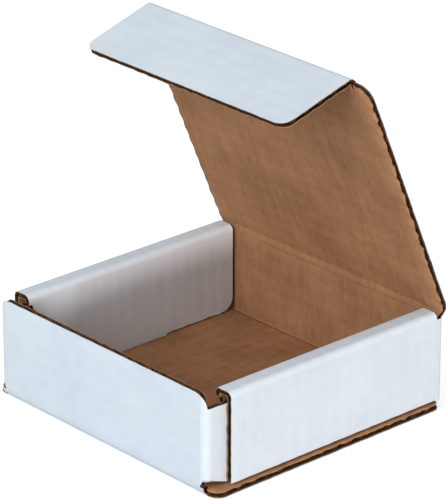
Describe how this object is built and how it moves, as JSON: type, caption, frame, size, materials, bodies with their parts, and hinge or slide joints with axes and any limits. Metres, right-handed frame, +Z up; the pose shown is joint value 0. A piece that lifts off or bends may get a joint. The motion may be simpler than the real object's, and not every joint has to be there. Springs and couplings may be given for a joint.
{
  "type": "corrugated mailer box",
  "caption": "Small white corrugated mailer box folded from one sheet, standing open, with rolled side walls and a hinged lid with a tuck flap.",
  "frame": {"origin": "centre of the underside, on the surface that the box stands on", "axes": "+Z up, -Y towards the front wall, +X to the right seen from the front"},
  "size_m": [0.1184, 0.111, 0.1334],
  "materials": {
    "corrugated_board": "white paper liner outside, plain brown kraft liner inside"
  },
  "bodies": {
    "tray": {"tray": "corrugated_board"},
    "lid": {"lid": "corrugated_board"},
    "tuck_flap": {"tuck_flap": "corrugated_board"}
  },
  "joints": [
    {"name": "lid_fold", "type": "hinge", "parent": "tray", "child": "lid", "pos_m": [0, 0.0528, 0.0377], "axis": [1, 0, 0], "range_deg": [-113.1, 66.9]},
    {"name": "flap_fold", "type": "hinge", "parent": "lid", "child": "tuck_flap", "pos_m": [0, 0.01313, 0.13069], "axis": [1, 0, 0], "range_deg": [-31.7, 18.8]}
  ],
  "couplings": [
    {"joint": "flap_fold", "follows": "lid_fold", "ratio": 0.28}
  ]
}
